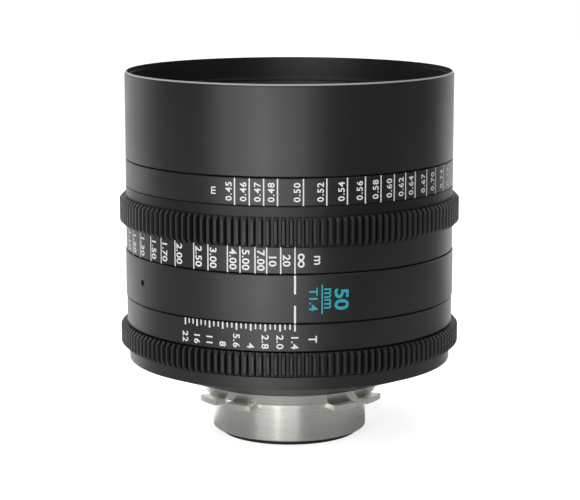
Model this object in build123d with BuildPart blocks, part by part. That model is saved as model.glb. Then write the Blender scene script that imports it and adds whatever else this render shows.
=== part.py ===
from build123d import *
from math import asin, cos, degrees, radians, sin, sqrt
import os

os.makedirs("parts", exist_ok=True)

# A cinema prime lens standing on its mount, front glass up, optical axis on +Z.
# The white index line faces -Y. All lengths are millimetres, all angles degrees.
# Rest pose: focus at infinity, iris fully open.

# Front barrel, the size that the other rings follow
front_radius = 57.0
edge_break = 0.3
ring_gap = 0.3
sleeve_radius = front_radius
index_barrel_radius = front_radius + 0.25
rear_band_radius = front_radius - 0.7

# Lengths along the axis, stacked from the rear ring up
rear_ring_height = 1.8
throat_length = 11.95
flange_thickness = 1.8
mount_base_height = 4.0
shim_thickness = 0.2
cone_height = 7.5
rear_band_height = 4.5
iris_gear_height = 7.95
gear_seam = 0.2
iris_scale_height = 9.3
index_height = 15.95
lower_scale_height = 8.95
focus_gear_height = 9.6
focus_flange_height = 3.6
upper_scale_height = 9.1
front_wall_height = 22.4
front_recess_height = 7.5

# Heights of the seams that follow from them
rear_ring_top = rear_ring_height
seat_height = rear_ring_top + throat_length
flange_top = seat_height + flange_thickness
mount_base_top = flange_top + mount_base_height
housing_bottom = mount_base_top + shim_thickness
rear_cone_top = housing_bottom + cone_height
rear_band_top = rear_cone_top + rear_band_height
iris_gear_bottom = rear_band_top + ring_gap
iris_gear_top = iris_gear_bottom + iris_gear_height
iris_scale_bottom = iris_gear_top + gear_seam
iris_sleeve_top = iris_scale_bottom + iris_scale_height
index_bottom = iris_sleeve_top + ring_gap
index_top = index_bottom + index_height
focus_bottom = index_top + ring_gap
focus_gear_bottom = focus_bottom + lower_scale_height
focus_gear_top = focus_gear_bottom + focus_gear_height
focus_flange_top = focus_gear_top + focus_flange_height
focus_top = focus_flange_top + upper_scale_height
front_bottom = focus_top + ring_gap
front_ledge = front_bottom + front_wall_height
front_top = front_ledge + front_recess_height

# Front opening
rim_wall = 1.4
lip_wall = 0.85
lip_depth = 1.6
rim_bevel = 0.45
rim_taper = 0.2
rim_taper_height = 0.6
hood_wall = 2.0
hood_inner_radius = front_radius - 5.0

# Follow drive gears, both of the same tooth form, 0.8 mm module
gear_teeth = 146
gear_tip_radius = front_radius + 2.2
gear_root_radius = front_radius + 0.4
tooth_root_share = 0.66
tooth_tip_share = 0.30
gear_end_chamfer = 1.2

# Nested tubes, from the scale sleeves inwards to the moving carriage
turning_clearance = 0.05
sleeve_wall = 2.0
cam_wall = 3.95
tube_wall = 4.0
carriage_wall = 2.45
scale_seat_radius = sleeve_radius - sleeve_wall
iris_seat_radius = scale_seat_radius - 1.0
cam_outer_radius = scale_seat_radius - 3.0
cam_inner_radius = cam_outer_radius - cam_wall
main_tube_outer = cam_inner_radius - turning_clearance
main_tube_inner = main_tube_outer - tube_wall
carriage_radius = main_tube_inner - turning_clearance
cell_radius = carriage_radius - carriage_wall
main_tube_bottom = rear_band_top - 3.0
main_tube_top = front_bottom + 5.45

# Focus travel: two left-hand cam slots lift the carriage
focus_turn = 200.0
focus_lift = 6.25
cam_pitch = focus_lift * 360.0 / focus_turn
cam_start_height = focus_bottom + 9.45
roller_radius = 1.6
slot_clearance = 0.05
follower_pin_radius = 1.0
follower_angles = (0.0, 180.0)

# Focus stop: a pin that runs in an arc groove in the index barrel
stop_radius = (cam_outer_radius + scale_seat_radius) / 2
stop_pin_radius = 1.0
stop_gap = 0.3
stop_start_angle = -10.0
stop_groove_depth = 2.65
stop_groove_floor = index_top - stop_groove_depth
stop_pin_bottom = stop_groove_floor + stop_gap
stop_pin_length = 6.1
stop_pin_top = stop_pin_bottom + stop_pin_length

# Screws that tie the focus ring to the cam sleeve
drive_screw_count = 3
drive_screw_height = focus_flange_top + upper_scale_height / 2
drive_screw_head = 2.0
drive_screw_shank = 1.0

# Iris cage: the glass is placed from its floor
iris_floor_top = index_bottom - 2.65
iris_floor_thickness = 2.8
iris_floor_bottom = iris_floor_top - iris_floor_thickness
iris_cage_radius = main_tube_inner - 8.0
iris_cage_wall = 6.5
iris_cage_bore = iris_cage_radius - iris_cage_wall
cell_seat = iris_floor_top + 13.5
carriage_floor = 3.0
cage_rim = cell_seat - 3.5
cage_bottom = iris_floor_top - 10.5

# Iris blades and their drive
iris_turn = 38.9
blade_turn = 34.0
blade_count = 9
blade_thickness = 0.15
blade_pitch = 0.25
blade_bottom = iris_floor_top + 0.25
blade_arc = 88.0
blade_arc_start = 4.0
pivot_radius = iris_cage_bore - 5.5
pivot_pin_radius = 0.5
pin_clearance = 0.05
blade_outer_radius = pivot_radius - 2.6
blade_open_radius = blade_outer_radius - 6.4
iris_opening = blade_open_radius + 0.3
drive_arm = 6.0
drive_arm_angle = -107.0
iris_ring_bottom = blade_bottom + blade_count * blade_pitch + 0.2
iris_ring_thickness = 2.0
iris_ring_top = iris_ring_bottom + iris_ring_thickness
iris_ring_inner = pivot_radius - 2.4
drive_pin_top = iris_ring_top - 0.3
bar_start_angle = 70.3
bar_width = 3.0
bar_inner = iris_cage_radius + 2.6
bar_outer = bar_inner + 3.2
arm_bottom = iris_gear_top + 1.7
arm_height = 3.0
arm_top = arm_bottom + arm_height
bar_top = cell_seat - 1.5
arm_width = 5.0
lug_width = 7.0
lug_reach = bar_outer + 0.2
notch_inner = bar_inner - 0.4
window_margin = 8.0

# Set screws of the index barrel
set_screw_height = index_bottom + index_height / 2
set_screw_radius = 1.0
set_screw_hole = 1.1
set_screw_angles = (208.0, 28.0)

# Mount: the throat tube is the standard size that its other radii follow
throat_radius = 27.0
throat_wall = 2.4
throat_inner = throat_radius - throat_wall
rear_ring_radius = throat_radius - 2.5
rear_ring_opening = throat_radius - 8.5
rear_ring_spigot = 1.2
flange_root_radius = throat_radius + 2.0
lobe_radius = throat_radius + 7.5
lobe_angle = 40.6
lobe_slant = 1.6
lobe_notch_angle = 7.0
lobe_notch_radius = throat_radius + 3.0
mount_base_radius = throat_radius + 4.8
rear_housing_bore = throat_inner + 0.9
mount_screw_circle = throat_radius + 2.6
mount_screw_angle = 56.0
mount_screw_head = 1.4
mount_screw_head_height = 0.8
mount_screw_shank = 0.8
mount_screw_depth = 9.0

# Rear cell, which moves inside the throat tube
rear_cell_radius = throat_inner - 2.1
rear_rim_radius = rear_cell_radius - 2.5
pair_rim_radius = rear_rim_radius - 0.5
rear_seat_radius = rear_rim_radius - 1.8
rear_clear = rear_rim_radius - 2.0
seat_clearance = 0.05
rear_spigot_radius = pair_rim_radius + 3.0
cage_lower_bore = rear_spigot_radius + seat_clearance
rear_cell_bottom = rear_ring_top + 5.7


def on_circle(radius, angle):
    return (radius * cos(radians(angle)), radius * sin(radians(angle)))


def half_way_drop(drop, clear):
    """Drop of a round surface at half of its clear radius."""
    curve = (clear * clear + drop * drop) / (2 * abs(drop))
    bend = curve - sqrt(curve * curve - clear * clear / 4)
    return bend if drop > 0 else -bend


# Glass elements from front to rear. A positive drop puts the rim of that surface
# below its middle. Columns: height of the middle above the iris floor, drop and
# clear radius of the upper surface, the same of the lower surface, and the rim.
front_rim = cell_radius - 1.5
second_rim = front_rim - 4.0
pair_rim = front_rim - 10.0
glass = {
    "glass_front": (54.5, 6.85, front_rim - 1.8, 44.5, 1.85, front_rim - 1.8, front_rim),
    "glass_second": (43.1, 10.55, second_rim - 2, 33.5, 6.65, second_rim - 2, second_rim),
    "glass_third": (32.0, 9.75, pair_rim - 2, 22.5, 2.65, pair_rim - 2, pair_rim),
    "glass_fourth": (22.5, 2.65, pair_rim - 2, 19.1, 5.75, pair_rim - 8, pair_rim),
    "glass_fifth": (-8.0, -3.55, rear_clear - 2, -10.0, -2.75, rear_clear, pair_rim_radius),
    "glass_sixth": (-10.0, -2.75, rear_clear, -18.5, -3.75, rear_clear, pair_rim_radius),
    "glass_seventh": (-19.3, 1.8, rear_clear, -27.0, -2.75, rear_clear, rear_rim_radius),
    "glass_rear": (-27.9, 3.35, rear_clear, -34.6, 1.35, rear_clear, rear_rim_radius),
}
rim_top = {name: iris_floor_top + row[0] - row[1] for name, row in glass.items()}
rim_bottom = {name: iris_floor_top + row[3] - row[4] for name, row in glass.items()}

# Outline shared by the two toothed rings
pitch_angle = 360.0 / gear_teeth
gear_outline = []
for tooth in range(gear_teeth):
    middle = tooth * pitch_angle
    root_half = pitch_angle * tooth_root_share / 2
    tip_half = pitch_angle * tooth_tip_share / 2
    gear_outline.append(on_circle(gear_root_radius, middle - root_half))
    gear_outline.append(on_circle(gear_tip_radius, middle - tip_half))
    gear_outline.append(on_circle(gear_tip_radius, middle + tip_half))
    gear_outline.append(on_circle(gear_root_radius, middle + root_half))

# Front barrel with its thin chamfered rim
with BuildPart() as front_barrel:
    with BuildSketch(Plane.XZ):
        with BuildLine():
            Polyline(
                (main_tube_outer, front_bottom),
                (front_radius - edge_break, front_bottom),
                (front_radius, front_bottom + edge_break),
                (front_radius, front_top - rim_bevel - rim_taper_height),
                (front_radius - rim_taper, front_top - rim_bevel),
                (front_radius - rim_taper - rim_bevel, front_top),
                (front_radius - lip_wall, front_top),
                (front_radius - lip_wall, front_top - lip_depth),
                (front_radius - rim_wall, front_top - lip_depth),
                (front_radius - rim_wall, front_ledge),
                (hood_inner_radius + hood_wall, front_ledge),
                (hood_inner_radius + hood_wall, main_tube_top),
                (main_tube_outer, main_tube_top),
                close=True,
            )
        make_face()
    revolve(axis=Axis.Z)
front_barrel.part.label = "front_barrel"
export_step(front_barrel.part, "parts/front_barrel.step")

# Hood liner inside the front barrel, stepped against stray light
liner_step_count = 6
liner_step = (front_ledge - main_tube_top - 2.0) / liner_step_count
liner_points = [
    (main_tube_inner + 0.6, main_tube_top),
    (hood_inner_radius + hood_wall, main_tube_top),
    (hood_inner_radius + hood_wall, front_ledge),
    (hood_inner_radius, front_ledge),
]
for step in range(liner_step_count):
    high = front_ledge - step * liner_step
    liner_points.append((hood_inner_radius, high - 0.6))
    liner_points.append((hood_inner_radius + 0.8, high - 0.6))
    liner_points.append((hood_inner_radius, high - liner_step))
liner_points.append((hood_inner_radius, main_tube_top + 1.5))
liner_points.append((main_tube_inner + 0.6, main_tube_top + 1.5))
with BuildPart() as hood_liner:
    with BuildSketch(Plane.XZ):
        with BuildLine():
            Polyline(liner_points, close=True)
        make_face()
    revolve(axis=Axis.Z)
hood_liner.part.label = "hood_liner"
export_step(hood_liner.part, "parts/hood_liner.step")

# Main tube: the fixed spine that every ring turns on
slot_top = cam_start_height + focus_lift
arm_sweep = degrees(asin((arm_width / 2 + stop_gap) / main_tube_inner))
with BuildPart() as main_tube:
    with BuildSketch(Plane.XY.offset(main_tube_bottom)):
        Circle(main_tube_outer)
        Circle(main_tube_inner, mode=Mode.SUBTRACT)
    extrude(amount=main_tube_top - main_tube_bottom)
    for angle in follower_angles:
        across = Plane(
            origin=(0, 0, (cam_start_height + slot_top) / 2),
            x_dir=(-sin(radians(angle)), cos(radians(angle)), 0),
            z_dir=(cos(radians(angle)), sin(radians(angle)), 0),
        )
        with BuildSketch(across.offset(main_tube_inner - 2)):
            SlotCenterToCenter(
                focus_lift + 2 * stop_gap,
                2 * (roller_radius + slot_clearance),
                rotation=90,
            )
        extrude(amount=tube_wall + 4, mode=Mode.SUBTRACT)
    first = bar_start_angle - arm_sweep
    last = bar_start_angle + iris_turn + arm_sweep
    with BuildSketch(Plane.XY.offset(arm_bottom - stop_gap)):
        Polygon(
            on_circle(main_tube_inner - 3, first),
            on_circle(main_tube_outer + 10, first),
            on_circle(main_tube_outer + 10, last),
            on_circle(main_tube_inner - 3, last),
            align=None,
        )
    extrude(amount=arm_top - arm_bottom + 2 * stop_gap, mode=Mode.SUBTRACT)
main_tube.part.label = "main_tube"
export_step(main_tube.part, "parts/main_tube.step")

# Index barrel, fixed between the focus and iris rings
with BuildPart() as index_barrel:
    with BuildSketch(Plane.XZ):
        with BuildLine():
            Polyline(
                (main_tube_outer, index_bottom),
                (index_barrel_radius - edge_break, index_bottom),
                (index_barrel_radius, index_bottom + edge_break),
                (index_barrel_radius, index_top - edge_break),
                (index_barrel_radius - edge_break, index_top),
                (main_tube_outer, index_top),
                (main_tube_outer, index_top - 4.5),
                (main_tube_outer + 2, index_top - 5.5),
                (main_tube_outer + 2, index_bottom + 4),
                (main_tube_outer, index_bottom + 3),
                close=True,
            )
        make_face()
    revolve(axis=Axis.Z)
    with BuildSketch(Plane.XY.offset(stop_groove_floor)):
        SlotArc(
            CenterArc(
                (0, 0), stop_radius, stop_start_angle, focus_turn, mode=Mode.PRIVATE
            ),
            2 * (stop_pin_radius + stop_gap),
        )
    extrude(amount=index_top - stop_groove_floor, mode=Mode.SUBTRACT)
    for angle in set_screw_angles:
        inward = Plane(
            origin=(0, 0, set_screw_height),
            x_dir=(-sin(radians(angle)), cos(radians(angle)), 0),
            z_dir=(cos(radians(angle)), sin(radians(angle)), 0),
        )
        with BuildSketch(inward.offset(main_tube_outer)):
            Circle(set_screw_hole)
        extrude(amount=12, mode=Mode.SUBTRACT)
index_barrel.part.label = "index_barrel"
export_step(index_barrel.part, "parts/index_barrel.step")

# Set screws with hexagon sockets that lock the index barrel
for number, angle in enumerate(set_screw_angles, start=1):
    outward = Plane(
        origin=(0, 0, set_screw_height),
        x_dir=(-sin(radians(angle)), cos(radians(angle)), 0),
        z_dir=(cos(radians(angle)), sin(radians(angle)), 0),
    )
    with BuildPart() as set_screw:
        with BuildSketch(outward.offset(main_tube_outer + 0.1)):
            Circle(set_screw_radius)
        extrude(amount=index_barrel_radius - main_tube_outer - 0.7)
        with BuildSketch(outward.offset(index_barrel_radius - 2.0)):
            RegularPolygon(0.5, 6, major_radius=False)
        extrude(amount=3, mode=Mode.SUBTRACT)
    set_screw.part.label = f"index_set_screw_{number}"
    export_step(set_screw.part, f"parts/index_set_screw_{number}.step")

# Rear housing: plain band, cone and the seat for the mount
with BuildPart() as rear_housing:
    with BuildSketch(Plane.XZ):
        with BuildLine():
            Polyline(
                (rear_housing_bore, housing_bottom),
                (lobe_radius, housing_bottom),
                (rear_band_radius, rear_cone_top),
                (rear_band_radius, rear_band_top - edge_break),
                (rear_band_radius - edge_break, rear_band_top),
                (main_tube_outer, rear_band_top),
                (main_tube_outer, main_tube_bottom),
                (main_tube_inner - 3, main_tube_bottom),
                (lobe_radius - 3, rear_cone_top - 2),
                (rear_housing_bore, rear_cone_top - 2),
                close=True,
            )
        make_face()
    revolve(axis=Axis.Z)
    with BuildSketch(Plane.XY.offset(mount_base_top)):
        with PolarLocations(mount_screw_circle, 4, start_angle=mount_screw_angle):
            Circle(mount_screw_shank)
    extrude(amount=mount_screw_depth + seat_height - mount_base_top, mode=Mode.SUBTRACT)
rear_housing.part.label = "rear_housing"
export_step(rear_housing.part, "parts/rear_housing.step")

# Shim that sets the flange distance
with BuildPart() as mount_shim:
    with BuildSketch(Plane.XY.offset(mount_base_top)):
        Circle(mount_base_radius - 0.6)
        Circle(rear_housing_bore, mode=Mode.SUBTRACT)
        with PolarLocations(mount_screw_circle, 4, start_angle=mount_screw_angle):
            Circle(mount_screw_shank, mode=Mode.SUBTRACT)
    extrude(amount=shim_thickness)
mount_shim.part.label = "mount_shim"
export_step(mount_shim.part, "parts/mount_shim.step")

# Mount base ring, a little wider at the top
with BuildPart() as mount_base:
    with BuildSketch(Plane.XZ):
        with BuildLine():
            Polyline(
                (throat_inner, flange_top),
                (mount_base_radius - 1.1, flange_top),
                (mount_base_radius - 0.8, flange_top + edge_break),
                (mount_base_radius, mount_base_top),
                (throat_inner, mount_base_top),
                close=True,
            )
        make_face()
    revolve(axis=Axis.Z)
    with BuildSketch(Plane.XY.offset(flange_top)):
        with PolarLocations(mount_screw_circle, 4, start_angle=mount_screw_angle):
            Circle(mount_screw_shank)
    extrude(amount=mount_base_top - flange_top, mode=Mode.SUBTRACT)
mount_base.part.label = "mount_base"
export_step(mount_base.part, "parts/mount_base.step")

# Lens mount: throat tube and four locking lobes in one turned and milled piece
with BuildPart() as lens_mount:
    with BuildSketch(Plane.XY.offset(seat_height)):
        Circle(flange_root_radius)
        for lobe in range(4):
            middle = 45.0 + 90.0 * lobe
            half = lobe_angle / 2
            with BuildLine():
                start = Line(
                    on_circle(throat_radius, middle - half - lobe_slant),
                    on_circle(lobe_radius, middle - half),
                )
                rim = ThreePointArc(
                    start @ 1,
                    on_circle(lobe_radius, middle),
                    on_circle(lobe_radius, middle + half),
                )
                end = Line(rim @ 1, on_circle(throat_radius, middle + half + lobe_slant))
                Line(end @ 1, (0, 0))
                Line((0, 0), start @ 0)
            make_face()
            notch_half = lobe_notch_angle / 2
            Polygon(
                on_circle(lobe_notch_radius, middle - notch_half),
                on_circle(lobe_radius + 3, middle - notch_half - 1.0),
                on_circle(lobe_radius + 3, middle + notch_half + 1.0),
                on_circle(lobe_notch_radius, middle + notch_half),
                align=None,
                mode=Mode.SUBTRACT,
            )
    extrude(amount=flange_top - seat_height)
    with BuildSketch(Plane.XZ):
        with BuildLine():
            Polyline(
                (throat_inner, rear_ring_top),
                (throat_radius - edge_break, rear_ring_top),
                (throat_radius, rear_ring_top + edge_break),
                (throat_radius, flange_top),
                (throat_inner, flange_top),
                close=True,
            )
        make_face()
    revolve(axis=Axis.Z)
    with BuildSketch(Plane.XY.offset(rear_ring_top)):
        Circle(throat_inner)
    extrude(amount=flange_top - rear_ring_top, mode=Mode.SUBTRACT)
    with BuildSketch(Plane.XY.offset(seat_height)):
        with PolarLocations(mount_screw_circle, 4, start_angle=mount_screw_angle):
            Circle(mount_screw_shank)
    extrude(amount=flange_top - seat_height, mode=Mode.SUBTRACT)
    with BuildSketch(Plane.XY.offset(seat_height)):
        with PolarLocations(mount_screw_circle, 4, start_angle=mount_screw_angle):
            Circle(mount_screw_head)
    extrude(amount=mount_screw_head_height, mode=Mode.SUBTRACT)
lens_mount.part.label = "lens_mount"
export_step(lens_mount.part, "parts/lens_mount.step")

# Four countersunk mount screws, driven from behind
for number in range(1, 5):
    x, y = on_circle(mount_screw_circle, mount_screw_angle + 90 * (number - 1))
    with BuildPart() as mount_screw:
        with BuildSketch(Plane((x, y, seat_height))):
            Circle(mount_screw_head)
        extrude(amount=mount_screw_head_height)
        with BuildSketch(Plane((x, y, seat_height))):
            Circle(mount_screw_shank)
        extrude(amount=mount_screw_depth - 0.5)
        with BuildSketch(Plane((x, y, seat_height))):
            Rectangle(1.7, 0.35)
            Rectangle(0.35, 1.7)
        extrude(amount=0.5, mode=Mode.SUBTRACT)
    mount_screw.part.label = f"mount_screw_{number}"
    export_step(mount_screw.part, f"parts/mount_screw_{number}.step")

# Black rear ring that guards the rear glass
with BuildPart() as rear_ring:
    with BuildSketch(Plane.XZ):
        with BuildLine():
            Polyline(
                (rear_ring_opening + 0.8, 0),
                (rear_ring_radius - 0.4, 0),
                (rear_ring_radius, 0.4),
                (rear_ring_radius, rear_ring_top),
                (throat_inner, rear_ring_top),
                (throat_inner, rear_ring_top + 3.9),
                (throat_inner - rear_ring_spigot, rear_ring_top + 3.9),
                (throat_inner - rear_ring_spigot, rear_ring_top),
                (rear_ring_opening, rear_ring_top),
                (rear_ring_opening, 0.8),
                close=True,
            )
        make_face()
    revolve(axis=Axis.Z)
rear_ring.part.label = "rear_ring"
export_step(rear_ring.part, "parts/rear_ring.step")

# Focus ring: toothed ring with a seat above and below for the engraved sleeves
with BuildPart() as focus_gear_ring:
    with BuildSketch(Plane.XY.offset(focus_gear_bottom)):
        with BuildLine():
            Polyline(gear_outline, close=True)
        make_face()
    extrude(amount=focus_gear_top - focus_gear_bottom)
    with BuildSketch(Plane.XZ):
        with BuildLine():
            Polyline(
                (0, focus_gear_bottom),
                (gear_tip_radius - gear_end_chamfer, focus_gear_bottom),
                (gear_tip_radius + 0.2, focus_gear_bottom + gear_end_chamfer + 0.2),
                (gear_tip_radius + 0.2, focus_gear_top - gear_end_chamfer - 0.2),
                (gear_tip_radius - gear_end_chamfer, focus_gear_top),
                (0, focus_gear_top),
                close=True,
            )
        make_face()
    revolve(axis=Axis.Z, mode=Mode.INTERSECT)
    with BuildSketch(Plane.XZ):
        with BuildLine():
            Polyline(
                (cam_outer_radius, focus_bottom),
                (scale_seat_radius, focus_bottom),
                (scale_seat_radius, focus_gear_bottom),
                (sleeve_radius - 0.5, focus_gear_bottom),
                (sleeve_radius, focus_gear_bottom + 0.5),
                (sleeve_radius, focus_flange_top - edge_break),
                (sleeve_radius - edge_break, focus_flange_top),
                (scale_seat_radius, focus_flange_top),
                (scale_seat_radius, focus_top),
                (cam_outer_radius, focus_top),
                close=True,
            )
        make_face()
    revolve(axis=Axis.Z)
    with BuildSketch(Plane.XY.offset(focus_bottom)):
        Circle(cam_outer_radius)
    extrude(amount=focus_top - focus_bottom, mode=Mode.SUBTRACT)
    with BuildSketch(Plane.XY.offset(focus_bottom)):
        with Locations(on_circle(stop_radius, stop_start_angle)):
            Circle(stop_pin_radius)
    extrude(amount=stop_pin_top - focus_bottom, mode=Mode.SUBTRACT)
    for screw in range(drive_screw_count):
        angle = 90 + screw * 360 / drive_screw_count
        outward = Plane(
            origin=(0, 0, drive_screw_height),
            x_dir=(-sin(radians(angle)), cos(radians(angle)), 0),
            z_dir=(cos(radians(angle)), sin(radians(angle)), 0),
        )
        with BuildSketch(outward.offset(cam_outer_radius - 1)):
            Circle(drive_screw_shank)
        extrude(amount=6, mode=Mode.SUBTRACT)
        with BuildSketch(outward.offset(scale_seat_radius - 1.6)):
            Circle(drive_screw_head)
        extrude(amount=6, mode=Mode.SUBTRACT)
focus_gear_ring.part.label = "focus_gear_ring"
export_step(focus_gear_ring.part, "parts/focus_gear_ring.step")

# Engraved sleeve with the forward distance scale
with BuildPart() as focus_scale_upper:
    with BuildSketch(Plane.XZ):
        with BuildLine():
            Polyline(
                (scale_seat_radius, focus_flange_top),
                (sleeve_radius - edge_break, focus_flange_top),
                (sleeve_radius, focus_flange_top + edge_break),
                (sleeve_radius, focus_top - edge_break),
                (sleeve_radius - edge_break, focus_top),
                (scale_seat_radius, focus_top),
                close=True,
            )
        make_face()
    revolve(axis=Axis.Z)
focus_scale_upper.part.label = "focus_scale_upper"
export_step(focus_scale_upper.part, "parts/focus_scale_upper.step")

# Engraved sleeve with the rearward distance scale
with BuildPart() as focus_scale_lower:
    with BuildSketch(Plane.XZ):
        with BuildLine():
            Polyline(
                (scale_seat_radius, focus_bottom),
                (sleeve_radius - edge_break, focus_bottom),
                (sleeve_radius, focus_bottom + edge_break),
                (sleeve_radius, focus_gear_bottom - edge_break),
                (sleeve_radius - edge_break, focus_gear_bottom),
                (scale_seat_radius, focus_gear_bottom),
                close=True,
            )
        make_face()
    revolve(axis=Axis.Z)
focus_scale_lower.part.label = "focus_scale_lower"
export_step(focus_scale_lower.part, "parts/focus_scale_lower.step")

# Cam sleeve with two left-hand slots, half a turn apart
cam_middle_radius = (cam_inner_radius + cam_outer_radius) / 2
with BuildPart() as cam_sleeve:
    with BuildSketch(Plane.XY.offset(focus_bottom)):
        Circle(cam_outer_radius)
        Circle(cam_inner_radius, mode=Mode.SUBTRACT)
    extrude(amount=focus_top - focus_bottom)
    with BuildLine(Plane.XY.offset(cam_start_height)) as cam_path:
        Helix(cam_pitch, focus_lift, cam_middle_radius, lefthand=True)
    for angle in follower_angles:
        cam_curve = cam_path.line.rotate(Axis.Z, angle)
        with BuildSketch(
            Plane(
                origin=cam_curve @ 0,
                x_dir=(cos(radians(angle)), sin(radians(angle)), 0),
                z_dir=cam_curve % 0,
            )
        ):
            Rectangle(6, 2 * (roller_radius + slot_clearance))
        sweep(path=cam_curve, is_frenet=True, mode=Mode.SUBTRACT)
        for end_angle, end_height in (
            (angle, cam_start_height),
            (angle - focus_turn, cam_start_height + focus_lift),
        ):
            outward = Plane(
                origin=(0, 0, end_height),
                x_dir=(-sin(radians(end_angle)), cos(radians(end_angle)), 0),
                z_dir=(cos(radians(end_angle)), sin(radians(end_angle)), 0),
            )
            with BuildSketch(outward.offset(cam_inner_radius - 2)):
                Circle(roller_radius + slot_clearance)
            extrude(amount=8, mode=Mode.SUBTRACT)
    for screw in range(drive_screw_count):
        angle = 90 + screw * 360 / drive_screw_count
        outward = Plane(
            origin=(0, 0, drive_screw_height),
            x_dir=(-sin(radians(angle)), cos(radians(angle)), 0),
            z_dir=(cos(radians(angle)), sin(radians(angle)), 0),
        )
        with BuildSketch(outward.offset(cam_inner_radius - 1)):
            Circle(drive_screw_shank)
        extrude(amount=6, mode=Mode.SUBTRACT)
cam_sleeve.part.label = "cam_sleeve"
export_step(cam_sleeve.part, "parts/cam_sleeve.step")

# Screws that carry the turn of the focus ring into the cam sleeve
for screw in range(drive_screw_count):
    angle = 90 + screw * 360 / drive_screw_count
    outward = Plane(
        origin=(0, 0, drive_screw_height),
        x_dir=(-sin(radians(angle)), cos(radians(angle)), 0),
        z_dir=(cos(radians(angle)), sin(radians(angle)), 0),
    )
    with BuildPart() as focus_drive_screw:
        with BuildSketch(outward.offset(cam_inner_radius + 0.3)):
            Circle(drive_screw_shank)
        extrude(amount=scale_seat_radius - cam_inner_radius - 0.8)
        with BuildSketch(outward.offset(scale_seat_radius - 1.6)):
            Circle(drive_screw_head)
        extrude(amount=1.3)
        with BuildSketch(outward.offset(scale_seat_radius - 0.9)):
            RegularPolygon(0.65, 6, major_radius=False)
        extrude(amount=2, mode=Mode.SUBTRACT)
    focus_drive_screw.part.label = f"focus_drive_screw_{screw + 1}"
    export_step(focus_drive_screw.part, f"parts/focus_drive_screw_{screw + 1}.step")

# Stop pin below the focus ring
with BuildPart() as focus_stop_pin:
    with BuildSketch(Plane.XY.offset(stop_pin_bottom)):
        with Locations(on_circle(stop_radius, stop_start_angle)):
            Circle(stop_pin_radius)
    extrude(amount=stop_pin_top - stop_pin_bottom)
focus_stop_pin.part.label = "focus_stop_pin"
export_step(focus_stop_pin.part, "parts/focus_stop_pin.step")

# Iris ring: toothed ring with a seat for its engraved sleeve
with BuildPart() as iris_gear_ring:
    with BuildSketch(Plane.XY.offset(iris_gear_bottom)):
        with BuildLine():
            Polyline(gear_outline, close=True)
        make_face()
    extrude(amount=iris_gear_top - iris_gear_bottom)
    with BuildSketch(Plane.XZ):
        with BuildLine():
            Polyline(
                (0, iris_gear_bottom),
                (gear_tip_radius - gear_end_chamfer, iris_gear_bottom),
                (gear_tip_radius + 0.2, iris_gear_bottom + gear_end_chamfer + 0.2),
                (gear_tip_radius + 0.2, iris_gear_top - gear_end_chamfer - 0.2),
                (gear_tip_radius - gear_end_chamfer, iris_gear_top),
                (0, iris_gear_top),
                close=True,
            )
        make_face()
    revolve(axis=Axis.Z, mode=Mode.INTERSECT)
    with BuildSketch(Plane.XY.offset(iris_gear_bottom)):
        Circle(iris_seat_radius)
    extrude(amount=iris_sleeve_top - iris_gear_bottom)
    with BuildSketch(Plane.XY.offset(iris_gear_bottom)):
        Circle(cam_inner_radius)
    extrude(amount=iris_sleeve_top - iris_gear_bottom, mode=Mode.SUBTRACT)
    toward = Plane(
        origin=(0, 0, (arm_bottom + arm_top) / 2),
        x_dir=(-sin(radians(bar_start_angle)), cos(radians(bar_start_angle)), 0),
        z_dir=(cos(radians(bar_start_angle)), sin(radians(bar_start_angle)), 0),
    )
    with BuildSketch(toward.offset(main_tube_outer - 2)):
        Rectangle(arm_width, arm_top - arm_bottom)
    extrude(amount=10, mode=Mode.SUBTRACT)
iris_gear_ring.part.label = "iris_gear_ring"
export_step(iris_gear_ring.part, "parts/iris_gear_ring.step")

# Engraved sleeve with the stop scale
with BuildPart() as iris_scale_sleeve:
    with BuildSketch(Plane.XZ):
        with BuildLine():
            Polyline(
                (iris_seat_radius, iris_scale_bottom),
                (sleeve_radius - edge_break, iris_scale_bottom),
                (sleeve_radius, iris_scale_bottom + edge_break),
                (sleeve_radius, iris_sleeve_top - edge_break),
                (sleeve_radius - edge_break, iris_sleeve_top),
                (iris_seat_radius, iris_sleeve_top),
                close=True,
            )
        make_face()
    revolve(axis=Axis.Z)
iris_scale_sleeve.part.label = "iris_scale_sleeve"
export_step(iris_scale_sleeve.part, "parts/iris_scale_sleeve.step")

# Drive bar: an arm through the main tube that carries an upright bar inside it
with BuildPart() as iris_drive_bar:
    with BuildSketch(toward.offset(bar_inner)):
        Rectangle(arm_width, arm_top - arm_bottom)
    extrude(amount=iris_seat_radius - bar_inner - 0.4)
    with BuildSketch(toward.offset(bar_inner)):
        with Locations((0, (bar_top - arm_bottom) / 2 - (arm_top - arm_bottom) / 2)):
            Rectangle(bar_width, bar_top - arm_bottom)
    extrude(amount=bar_outer - bar_inner)
iris_drive_bar.part.label = "iris_drive_bar"
export_step(iris_drive_bar.part, "parts/iris_drive_bar.step")

# Carriage tube: slides in the main tube and carries all the glass
carriage_top = iris_floor_top + 54.5
cage_lip = iris_cage_radius - 3.0
with BuildPart() as carriage_tube:
    with BuildSketch(Plane.XZ):
        with BuildLine():
            Polyline(
                (cage_lip, cell_seat),
                (carriage_radius - 0.5, cell_seat),
                (carriage_radius, cell_seat + 0.5),
                (carriage_radius, carriage_top),
                (cell_radius, carriage_top),
                (cell_radius, cell_seat + carriage_floor),
                (cage_lip, cell_seat + carriage_floor),
                close=True,
            )
        make_face()
    revolve(axis=Axis.Z)
    for angle in follower_angles:
        outward = Plane(
            origin=(0, 0, cam_start_height),
            x_dir=(-sin(radians(angle)), cos(radians(angle)), 0),
            z_dir=(cos(radians(angle)), sin(radians(angle)), 0),
        )
        with BuildSketch(outward.offset(cell_radius - 1)):
            Circle(follower_pin_radius)
        extrude(amount=5, mode=Mode.SUBTRACT)
carriage_tube.part.label = "carriage_tube"
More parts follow.
